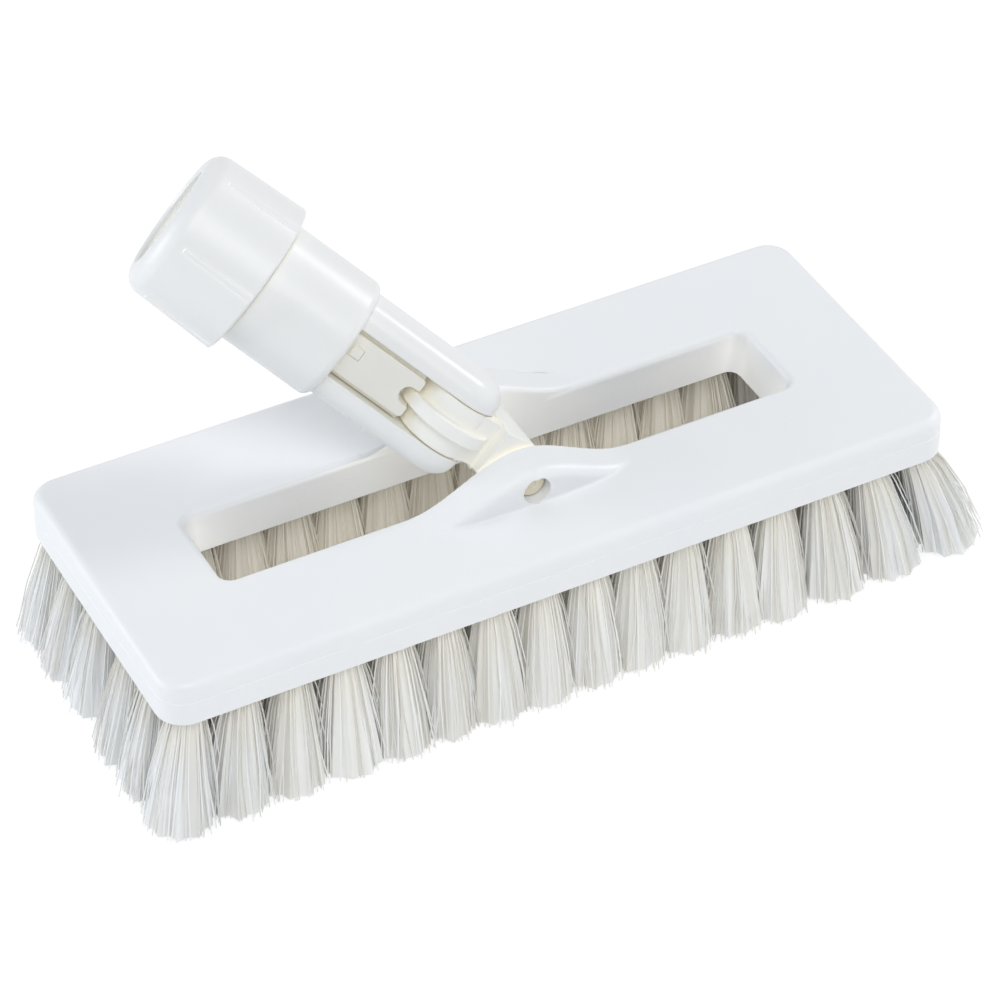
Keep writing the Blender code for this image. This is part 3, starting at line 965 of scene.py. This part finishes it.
@dataclass
class Knuckle(Piece):
    """The link between the two axes: a foot round the axle, a hub round the tilt pin and a rib."""

    foot_radius: float = 0.0062
    foot_length: float = 0.0223
    hub_height: float = 0.0168
    hub_radius: float = 0.0087
    hub_width: float = 0.0127
    rib_radius: float = 0.0112
    rib_width: float = 0.0036
    web_width: float = 0.012
    web_depth: float = 0.0166
    edge: float = 0.0005

    def build(self) -> None:
        """Builds the knuckle and fits it out."""
        height = self.hub_height
        centre = (0, 0, height)
        knuckle = rod("knuckle_link", self.hub_radius, self.hub_width, centre, Axis.X)
        rise = height - self.hub_radius
        foot = half_round("foot", self.foot_radius, self.foot_length, Axis.Y, rise)
        web = bar("web", (self.web_width, self.web_depth, height), (0, 0, height / 2))
        rib = rod("rib", self.rib_radius, self.rib_width, centre, Axis.X)
        for part in (foot, web, rib):
            combine(knuckle, part, Fit.JOIN)
        tidy_mesh(knuckle)
        break_edges(knuckle, self.edge)
        span = self.foot_length + 2 * OVERRUN
        bore(knuckle, BORE_RADIUS, span, ORIGIN, Axis.Y)
        bore(knuckle, BORE_RADIUS, span, centre, Axis.X)
        self.deliver(knuckle, Body.KNUCKLE, Slot.KNUCKLE, "knuckle")


@dataclass
class SocketYoke(Piece):
    """The fork with its round body and neck, bored for the handle, in one moulding."""

    fork_width: float = 0.026
    fork_depth: float = 0.0176
    fork_corner: float = 0.005
    shoulder: float = 0.0288
    slot_width: float = 0.0133
    slot_relief: float = 0.0005
    body_radius: float = 0.01545
    body_length: float = 0.0244
    body_fillet: float = 0.0022
    body_gap: float = 0.0003
    neck_radius: float = 0.0145
    neck_length: float = 0.020
    socket_radius: float = 0.0099
    socket_floor: float = 0.005
    guide_width: float = 0.0112
    guide_depth: float = 0.0150
    guide_start: float = 0.002
    bore_skin: float = 0.0008
    edge: float = 0.0004

    def fork(self) -> Object:
        """Builds the fork before its slot: a round tip, straight sides and rounded outer edges.

        Returns:
            The fork.
        """
        radius = self.fork_depth / 2
        side = self.fork_width / 2
        piece = half_round("yoke", radius, self.fork_width, Axis.X, self.shoulder + OVERRUN)
        with editing(piece):
            pick(
                piece,
                Kind.EDGE,
                lambda a, b: a.x * b.x > 0
                and min(a.z, b.z) < self.shoulder
                and all(
                    abs(end.x) > side - WELD and math.hypot(end.y, min(end.z, 0)) > radius - WELD
                    for end in (a, b)
                ),
            )
            bevel(self.fork_corner)
        return piece

    def body(self) -> Object:
        """Builds the body and the neck round the handle's bore, with a hole in its floor.

        Returns:
            The body.
        """
        start = self.shoulder
        end = start + self.body_length - self.body_gap
        neck_end = end + self.body_gap + self.neck_length
        floor = start + self.socket_floor
        radius, fillet = self.body_radius, self.body_fillet
        return turned("body", [
            (self.guide_start, start),
            *((radius - fillet * (1 - y), start + fillet * (1 - x)) for x, y in quarter()),
            (radius, end - self.edge),
            (radius - self.edge, end),
            (self.neck_radius, end),
            (self.neck_radius, neck_end - self.edge),
            (self.neck_radius - self.edge, neck_end),
            (self.socket_radius + self.edge, neck_end),
            (self.socket_radius, neck_end - self.edge),
            (self.socket_radius, floor),
            (self.guide_start, floor),
        ])

    def build(self) -> None:
        """Builds the yoke and fits it out."""
        yoke = self.fork()
        end = self.shoulder + self.slot_relief
        length = end + self.fork_depth / 2 + OVERRUN
        slot_size = (self.slot_width, self.fork_depth + 2 * OVERRUN, length)
        guide_size = (self.guide_width, self.guide_depth, 2 * (self.socket_floor + OVERRUN))
        guide_height = self.shoulder + self.socket_floor / 2
        combine(yoke, self.body(), Fit.JOIN)
        combine(yoke, bar("slot", slot_size, (0, 0, end - length / 2)), Fit.CUT)
        combine(yoke, bar("guide", guide_size, (0, 0, guide_height)), Fit.CUT)
        tidy_mesh(yoke)
        break_edges(yoke, self.edge)
        span = self.fork_width + OVERRUN - self.bore_skin
        middle = (-(OVERRUN + self.bore_skin) / 2, 0, 0)
        bore(yoke, BORE_RADIUS, span, middle, Axis.X)
        self.deliver(yoke, Body.SOCKET, Slot.SOCKET, "socket_yoke")


@dataclass
class LockPlunger(Piece):
    """The tongue between the arms, notched over the knuckle's rib, with a head in the socket."""

    width: float = 0.0106
    depth: float = 0.0144
    start: float = 0.0090
    head_start: float = 0.0341
    head_radius: float = 0.0092
    head_thickness: float = 0.004
    notch_half: float = 0.0023
    notch_centre: float = 0.01034
    core_width: float = 0.0125
    core_depth: float = 0.0112
    core_start: float = 0.0096
    tab_size: float = 0.0029
    tab_rise: float = 0.0005
    tab_height: float = 0.026
    tab_shift: float = 0.0014
    corner_round: float = 0.0010
    edge: float = 0.0004
    edge_strips: int = 2

    def build(self) -> None:
        """Builds the plunger and fits it out."""
        head_middle = self.head_start + self.head_thickness / 2
        length = head_middle - self.start
        plunger = bar("plunger", (self.width, self.depth, length), (0, 0, self.start + length / 2))
        with editing(plunger):
            pick(
                plunger,
                Kind.EDGE,
                lambda a, b: max(a.z, b.z) < self.start + WELD and abs(a.x - b.x) < WELD,
            )
            bevel(self.corner_round, ARC_STRIPS // 2)
        rise = self.head_start - self.core_start
        core = (self.core_width, self.core_depth, rise)
        tab = (self.tab_size, 2 * self.tab_rise, self.tab_size)
        tab_place = (self.tab_shift, -self.depth / 2, self.tab_height)
        combine(plunger, bar("core", core, (0, 0, self.core_start + rise / 2)), Fit.JOIN)
        combine(plunger, bar("tab", tab, tab_place), Fit.JOIN)
        span = self.depth + 2 * OVERRUN
        below = (2 * self.notch_half, span, 2 * OVERRUN)
        bore(plunger, self.notch_half, span, (0, 0, self.notch_centre), Axis.Y)
        combine(plunger, bar("below", below, (0, 0, self.notch_centre - OVERRUN)), Fit.CUT)
        tidy_mesh(plunger)
        break_edges(plunger, self.edge, self.edge_strips)
        head = rod("head", self.head_radius, self.head_thickness, (0, 0, head_middle))
        break_edges(head, self.edge)
        combine(plunger, head, Fit.JOIN)
        self.deliver(plunger, Body.PLUNGER, Slot.PLUNGER, "lock_plunger")


@dataclass
class HandleCollar(Piece):
    """The collar that is turned to clamp the handle, with six grip ridges and a thread inside."""

    start: float = 0.0532
    length: float = 0.0248
    sides: int = 144
    back_radius: float = 0.0192
    mouth_radius: float = 0.0184
    mouth_fillet: float = 0.0045
    back_chamfer: float = 0.0005
    bore_radius: float = 0.0126
    seat: float = 0.0203
    inner_radius: float = 0.0148
    ridge_count: int = 6
    ridge_height: float = 0.0006
    ridge_width: float = 0.0017
    ridge_length: float = 0.0188
    ridge_turn: float = 30.0
    ridge_round: float = 0.0007
    thread_pitch: float = 0.0015
    thread_height: float = 0.0004

    def outer(self, height: float) -> float:
        """The outer radius at a height above the back edge."""
        share = height / self.length
        return self.back_radius + (self.mouth_radius - self.back_radius) * share

    def shell(self) -> Object:
        """Builds the collar's turned form.

        Returns:
            The collar without its ridges.
        """
        soft = self.back_chamfer
        bend = self.length - self.mouth_fillet
        rim = self.outer(bend) - self.mouth_fillet
        arc = quarter(2 * ARC_STRIPS)
        groove = self.bore_radius + self.thread_height
        pitch = self.thread_pitch
        profile = [
            (self.outer(0) - soft, 0),
            (self.outer(0), soft),
            *((rim + self.mouth_fillet * x, bend + self.mouth_fillet * y) for x, y in arc),
            (self.bore_radius + soft, self.length),
            (self.bore_radius, self.length - soft),
        ]
        height = self.length - soft - pitch / 2
        while height - pitch > self.seat:
            profile += [
                (self.bore_radius, height),
                (groove, height - pitch / 4),
                (groove, height - pitch / 2),
                (self.bore_radius, height - 3 * pitch / 4),
            ]
            height -= pitch
        profile += [
            (self.bore_radius, self.seat),
            (self.inner_radius, self.seat),
            (self.inner_radius, 0),
        ]
        return turned("collar", profile, self.sides)

    def ridge(self) -> Object:
        """Builds one grip ridge, which gets lower toward the mouth.

        Returns:
            The ridge, to be copied and joined to the collar.
        """
        low = self.outer(self.ridge_length) - 2 * self.ridge_height
        high = self.outer(0) + self.ridge_height
        length = self.ridge_length - self.back_chamfer
        centre = ((high + low) / 2, 0, self.back_chamfer + length / 2)
        piece = bar("ridge", (high - low, self.ridge_width, length), centre)
        with editing(piece):
            pick(piece, Kind.POINT, lambda point: point.x > low + WELD and point.z > length)
            drop = self.outer(self.ridge_length) + self.ridge_height / 2 - high
            bpy.ops.transform.translate(value=(drop, 0, 0))
            inner = low + WELD
            pick(piece, Kind.EDGE, lambda a, b: min(a.x, b.x) > inner and abs(a.z - b.z) > WELD)
            bevel(self.ridge_round, ARC_STRIPS // 2)
        return piece

    def build(self) -> None:
        """Builds the collar and fits it out."""
        collar = self.shell()
        first = self.ridge()
        for number in range(self.ridge_count):
            ridge = link("ridge", first.data.copy())
            turn = math.radians(self.ridge_turn + 360 * number / self.ridge_count)
            settle(ridge, Matrix.Rotation(turn, 4, "Z"))
            combine(collar, ridge, Fit.JOIN)
        bpy.data.objects.remove(first)
        settle(collar, Matrix.Translation((0, 0, self.start)))
        self.deliver(collar, Body.COLLAR, Slot.COLLAR, "handle_collar")


@dataclass
class BristleRows(Piece):
    """The trimmed tufts, filament by filament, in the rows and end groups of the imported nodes."""

    rail_width: float = 0.02825
    columns: int = 16
    end_inset: float = 0.00785
    outer_row_share: float = 0.22
    inner_row_share: float = 0.66
    end_row_share: float = 0.75
    end_columns: int = 2
    rim_depth: float = 0.25
    root_height: float = 0.0355
    filaments: int = 150
    filament_radius: float = 0.00018
    filament_range: Pair = (0.85, 1.1)
    filament_sides: int = 3
    root_radius: float = 0.0033
    tip_radius: float = 0.0097
    fan_range: Pair = (0.88, 1.04)
    left_flare: float = 0.0065
    right_flare: float = 0.0145
    side_flare: float = 0.0050
    flare_reach: float = 0.050
    tuft_wander: float = 0.0006
    tip_wander: float = 0.0003
    bow: float = 0.0006
    ease: float = 0.3
    slack_share: float = 0.8
    trim_least: float = 0.0003
    trim_spread: float = 0.0004
    hollow: float = 0.45
    heart_share: float = 0.88
    heart_range: Pair = (0.92, 1.04)
    heart_lift: float = 0.0009
    heart_flutes: int = 11
    heart_groove: float = 0.88
    seed: int = 7
    stations: tuple[float, ...] = (0.0, 0.3, 0.65, 1.0)

    def __post_init__(self) -> None:
        """Starts the source of the filaments' differences."""
        self.random = numpy.random.default_rng(self.seed)

    @property
    def last_column(self) -> float:
        """How far the last column of tufts is from the block's middle."""
        return BLOCK_LENGTH / 2 - self.end_inset

    @property
    def outer_row(self) -> float:
        """How far an outer row is from the block's middle line."""
        return BLOCK_WIDTH / 2 - self.rail_width * self.outer_row_share

    def rows(self) -> dict[str, list[Pair]]:
        """Works out where the tufts stand.

        Returns:
            The tufts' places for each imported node.
        """
        pitch = 2 * self.last_column / (self.columns - 1)
        columns = [pitch * column - self.last_column for column in range(self.columns)]
        inner = BLOCK_WIDTH / 2 - self.rail_width * self.inner_row_share
        across = WINDOW_WIDTH / 2 * self.end_row_share
        lines = {
            "front_outer": -self.outer_row,
            "front_inner": -inner,
            "back_inner": inner,
            "back_outer": self.outer_row,
        }
        rows = {f"tufts_{name}": [(x, y) for x in columns] for name, y in lines.items()}
        ends = {"left": columns[: self.end_columns], "right": columns[-self.end_columns :]}
        for side, picked in ends.items():
            rows[f"tufts_{side}_end"] = [(x, y) for x in picked for y in (-across, across)]
        return rows

    def lean(self, x: float, y: float) -> Pair:
        """How far a tuft's tip stands from its root, more toward the block's ends and sides.

        Args:
            x: The tuft's place along the block.
            y: The tuft's place across it.

        Returns:
            The lean along X and along Y.
        """
        flare = self.right_flare if x > 0 else self.left_flare
        furthest = BLOCK_LENGTH / 2 + flare - self.last_column - self.tip_radius
        share = max(0.0, (abs(x) - self.last_column + self.flare_reach) / self.flare_reach)
        sideways = BLOCK_WIDTH / 2 + self.side_flare - self.outer_row - self.tip_radius
        return (
            math.copysign(furthest * share**2, x),
            math.copysign(sideways * (y / self.outer_row) ** 2, y),
        )

    def depth(self, x: float, y: float) -> float:
        """How deep within the brush a tuft is, 0 at its rim and 1 well inside; it places the
        fibre's painted warm light and glow.
        """
        inside = min((self.last_column - abs(x)) / self.rail_width, 1.0)
        return inside if abs(y) < self.outer_row - WELD else self.rim_depth * inside

    def eased(self, station: numpy.ndarray) -> numpy.ndarray:
        """How far along its way out a filament is at a share of its height."""
        return (1 + self.ease) * station - self.ease * station**2

    def tuft(self, x: float, y: float) -> tuple[numpy.ndarray, numpy.ndarray]:
        """Works out one tuft: its filaments' middle lines, and the heart that they stand round.

        Args:
            x: The tuft's place along the block.
            y: The tuft's place across it.

        Returns:
            The filaments' points and the heart's, each by strand and by station.
        """
        random, count, spot = self.random, self.filaments, numpy.array((x, y))
        number = numpy.arange(count)
        share = numpy.sqrt(self.hollow**2 + (1 - self.hollow**2) * (number + 0.5) / count)
        turn = number * GOLDEN_TURN + random.uniform(0, 2 * math.pi)
        outward = numpy.stack([numpy.cos(turn), numpy.sin(turn)], axis=1)
        root = spot + outward * (share * self.root_radius)[:, None]
        middle = spot + self.lean(x, y) + random.uniform(-1, 1, 2) * self.tuft_wander
        fan = share * self.tip_radius * random.uniform(*self.fan_range, count)
        tip = middle + outward * fan[:, None] + random.normal(0, self.tip_wander, (count, 2))
        bow = random.normal(0, self.bow, (count, 2))
        travel = tip - root
        slack = self.slack_share * (travel**2).sum(axis=1) / (2 * UNDERSIDE)
        foot = slack + random.uniform(0, self.trim_spread, count)
        foot = numpy.clip(foot, self.trim_least, None)[:, None, None]
        steps = numpy.array(self.stations)[:, None]
        flat = root[:, None] + travel[:, None] * self.eased(steps)
        flat = flat + bow[:, None] * numpy.sin(math.pi * steps)
        height = self.root_height + (foot - self.root_height) * steps
        centre = spot + (middle - spot) * self.eased(steps)
        level = self.root_height + (self.heart_lift - self.root_height) * steps
        return (
            numpy.concatenate([flat, height], axis=2),
            numpy.concatenate([centre, level], axis=1)[None],
        )

    def tube(
        self, lines: numpy.ndarray, spokes: numpy.ndarray, turn: numpy.ndarray
    ) -> tuple[numpy.ndarray, list[list[int]]]:
        """Works out closed tubes round middle lines.

        Args:
            lines: The middle lines' points, by strand and by station.
            spokes: The tubes' radii by strand, station and side.
            turn: Each strand's turn, in radians.

        Returns:
            The tubes' points and their faces, the sides first and then both ends of each tube.
        """
        count, stations, sides = spokes.shape
        around = turn[:, None] + numpy.arange(sides) * 2 * math.pi / sides
        ring = numpy.stack([numpy.cos(around), numpy.sin(around), numpy.zeros_like(around)], axis=2)
        points = lines[:, :, None, :] + ring[:, None, :, :] * spokes[..., None]
        first = (numpy.arange(count * stations) * sides).reshape(count, stations)[:, :-1, None]
        side = numpy.arange(sides)
        after = (side + 1) % sides
        walls = numpy.stack(
            [first + after, first + side, first + side + sides, first + after + sides], axis=3
        )
        faces = walls.reshape(-1, 4).tolist()
        span = stations * sides
        for start in range(0, count * span, span):
            faces.append([*range(start, start + sides)])
            faces.append([*range(start + span - 1, start + span - sides - 1, -1)])
        return points.reshape(-1, 3), faces

    def row_mesh(self, name: str, strands: list[numpy.ndarray], depths: list[float]) -> Object:
        """Makes a row's filaments and hearts as one mesh.

        Args:
            name: The object's name.
            strands: The filaments' and the hearts' points, by strand and by station.
            depths: How deep within the brush each tuft is.

        Returns:
            The new object.
        """
        filaments, hearts = strands
        steps = numpy.array(self.stations)
        thin = self.filament_radius * self.random.uniform(*self.filament_range, len(filaments))
        spokes = thin[:, None, None] * numpy.ones((len(steps), self.filament_sides))
        sides = 2 * self.heart_flutes
        width = self.root_radius + (self.tip_radius - self.root_radius) * self.eased(steps)
        flutes = numpy.where(numpy.arange(sides) % 2, 1.0, self.heart_groove)
        wide = self.heart_share * width[None, :, None] * flutes
        wide = wide * self.random.uniform(*self.heart_range, (len(hearts), 1, sides))
        points, faces, values = [], [], {TONE: [], REACH: [], DEPTH: []}
        for lines, radii, shades in ((filaments, spokes, 1), (hearts, wide, sides)):
            start = sum(len(part) for part in points)
            turn = self.random.uniform(0, 2 * math.pi, len(lines))
            placed, loops = self.tube(lines, radii, turn)
            points.append(placed)
            faces += [[start + point for point in loop] for loop in loops]
            shade = self.random.uniform(0, 1, (len(lines), 1, shades))
            values[TONE].append(numpy.broadcast_to(shade, radii.shape))
            values[REACH].append(numpy.broadcast_to(steps[:, None], radii.shape))
            values[DEPTH].append(numpy.repeat(depths, radii.size // len(depths)))
        mesh = bpy.data.meshes.new(name)
        mesh.from_pydata(numpy.concatenate(points).tolist(), [], faces)
        for label, parts in values.items():
            layer = mesh.attributes.new(label, "FLOAT", "POINT")
            layer.data.foreach_set("value", numpy.concatenate([part.ravel() for part in parts]))
        return link(name, mesh)

    def build(self) -> None:
        """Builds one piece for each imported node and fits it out."""
        for node, places in self.rows().items():
            tufts = [self.tuft(x, y) for x, y in places]
            strands = [numpy.concatenate(group) for group in zip(*tufts)]
            depths = [self.depth(x, y) for x, y in places]
            piece = self.row_mesh(node.replace("tufts", "bristles"), strands, depths)
            self.deliver(piece, Body.BRUSH, Slot.BRISTLE, node, smooth=False)


# Studio


@dataclass(frozen=True)
class SoftBox:
    """A soft square lamp, from its place, its side, its power in watts and its colour."""

    name: str
    place: Triple
    size: float
    power: float
    colour: Triple

    def build(self, aim: Vector) -> None:
        """Hangs the lamp.

        Args:
            aim: The point that it faces.
        """
        light = bpy.data.lights.new(self.name, "AREA")
        light.size = self.size
        light.energy = self.power
        light.color = self.colour
        lamp = link(self.name, light)
        lamp.location = self.place
        lamp.rotation_euler = (Vector(self.place) - aim).to_track_quat("Z", "Y").to_euler()


@dataclass
class Studio:
    """The pale floor, the soft lamps and the camera."""

    floor_size: float = 8.0
    floor_white: float = 0.93
    floor_roughness: float = 0.8
    floor_lift: float = 0.62
    floor_glow: float = 1.10
    table_glow: float = 0.14
    sky: float = 0.46
    sky_colour: Triple = (0.95, 0.98, 1.0)
    lens: float = 142.99
    sensor: float = 36.0
    camera_turn: Triple = (49.13, 0.0, -27.97)
    camera_place: Triple = (-0.33227, -0.63317, 0.64036)
    aim: Triple = (-0.002, -0.007, 0.045)
    lamps: tuple[SoftBox, ...] = (
        SoftBox("left_box", (-0.90, 0.48, 0.34), 0.55, 3.7, (0.90, 0.95, 1.0)),
        SoftBox("right_box", (0.87, 0.02, 0.60), 0.24, 2.8, (1.0, 0.99, 0.97)),
        SoftBox("front_box", (-0.16, -0.60, 0.92), 0.60, 4.6, (1.0, 1.0, 1.0)),
    )

    def background_share(self, board: NodeBoard) -> NodeSocket:
        """Adds nodes that are 1 for rays that should see the plain background.

        Args:
            board: The nodes of the floor or of the world.

        Returns:
            The share's socket.
        """
        rays = board.add("LightPath").outputs
        share = board.reckon("MAXIMUM", rays["Is Camera Ray"], rays["Is Glossy Ray"])
        return board.reckon("MAXIMUM", share, rays["Is Transmission Ray"])

    def build_world(self) -> None:
        """Lights the object evenly, and shows white behind it."""
        world = bpy.data.worlds.new("studio")
        bpy.context.scene.world = world
        board = NodeBoard(world)
        board.fill(board.shader, color=(*self.sky_colour, 1.0), strength=self.sky)
        shown = board.add("Background", color=(1.0, 1.0, 1.0, 1.0), strength=1.0)
        board.show(self.background_share(board), board.shader, shown)

    def build_floor(self) -> None:
        """Lays a white floor that keeps the brush's shadow faintly."""
        bpy.ops.mesh.primitive_plane_add(size=self.floor_size)
        floor = added("floor")
        board = NodeBoard(bpy.data.materials.new("pale_floor"))
        white = (self.floor_white, self.floor_white, self.floor_white, 1.0)
        board.fill(board.shader, base_color=white, roughness=self.floor_roughness)
        table = board.add("Emission", strength=self.table_glow)
        glow = board.add("Emission", strength=self.floor_glow)
        lit = board.add("AddShader", board.shader.outputs[0], table.outputs[0])
        lift = board.reckon("MULTIPLY", self.background_share(board), self.floor_lift)
        board.show(lift, lit, glow)
        floor.data.materials.append(board.owner)

    def build_camera(self) -> None:
        """Sets the camera at the photograph's angle."""
        view = bpy.data.cameras.new("camera")
        view.lens = self.lens
        view.sensor_width = self.sensor
        camera = link("camera", view)
        camera.location = self.camera_place
        camera.rotation_euler = [math.radians(turn) for turn in self.camera_turn]
        bpy.context.scene.camera = camera

    def build(self) -> None:
        """Builds the whole studio."""
        self.build_world()
        self.build_floor()
        for lamp in self.lamps:
            lamp.build(Vector(self.aim))
        self.build_camera()
        bpy.context.scene.view_settings.view_transform = "Standard"


def main() -> None:
    """Builds the brush piece by piece, and the studio round it."""
    logging.basicConfig(level=logging.INFO, format="%(message)s")
    frames = JointFrames.read(frame["joints"])
    # The block's window walls get painted crevice light and a strong painted glow.
    block = MouldedPlastic(
        "block_moulding",
        (0.83, 0.845, 0.868),
        (0.92, 0.912, 0.885),
        gloss=(0.36, 0.48),
        crevice_reach=0.030,
        crevice_range=(0.45, 0.86),
        crevice_band=(frames.base.translation.y, 0.0121),
        painted_glow=0.30,
    ).make()
    white = MouldedPlastic(
        "socket_moulding",
        (0.80, 0.81, 0.82),
        (0.84, 0.83, 0.76),
        gloss=(0.285, 0.36),
        painted_glow=0.04,
    ).make()
    # The collar's mouth and thread get a strong painted glow.
    shell = MouldedPlastic(
        "collar_moulding",
        (0.80, 0.81, 0.82),
        (0.87, 0.86, 0.80),
        gloss=(0.285, 0.36),
        crevice_reach=0.020,
        crevice_range=(0.45, 0.95),
        own_crevices=True,
        painted_glow=0.30,
    ).make()
    warm = MouldedPlastic(
        "warm_moulding", (0.85, 0.855, 0.84), (0.93, 0.90, 0.80), painted_glow=0.05
    ).make()
    # Painted shade: the plunger is darker than the other mouldings, for the shade of its recess
    # between the fork's arms.
    deep = MouldedPlastic(
        "plunger_moulding", (0.755, 0.75, 0.715), (0.86, 0.83, 0.74), painted_glow=0.05
    ).make()
    ivory = MouldedPlastic("ivory_moulding", (0.84, 0.80, 0.68), (0.80, 0.72, 0.54)).make()
    # Bright and dull are each filament's random tone; root is painted shade and inside is painted
    # warm light.
    fibre = BristleFibre(
        "bristle_fibre",
        bright=(0.92, 0.945, 0.975),
        dull=(0.73, 0.715, 0.675),
        root=(0.85, 0.82, 0.74),
        inside=(0.97, 0.925, 0.82),
    ).make()
    rows = BristleRows(frames.base, fibre)
    tufts = [place for places in rows.rows().values() for place in places]
    BrushBlock(frames.base, block, list(dict.fromkeys(tufts))).build()
    rows.build()
    Pin(frames.swing, ivory, "axle", "axle_pin", Body.BRUSH, Axis.Y, 0.0389).build()
    Pin(frames.tilt, ivory, "cross_pin", "tilt_pin", Body.SOCKET, Axis.X, 0.024).build()
    Knuckle(frames.swing, warm).build()
    SocketYoke(frames.tilt, white).build()
    LockPlunger(frames.tilt, deep).build()
    HandleCollar(frames.tilt, shell).build()
    Studio().build()


if __name__ == "__main__":
    main()
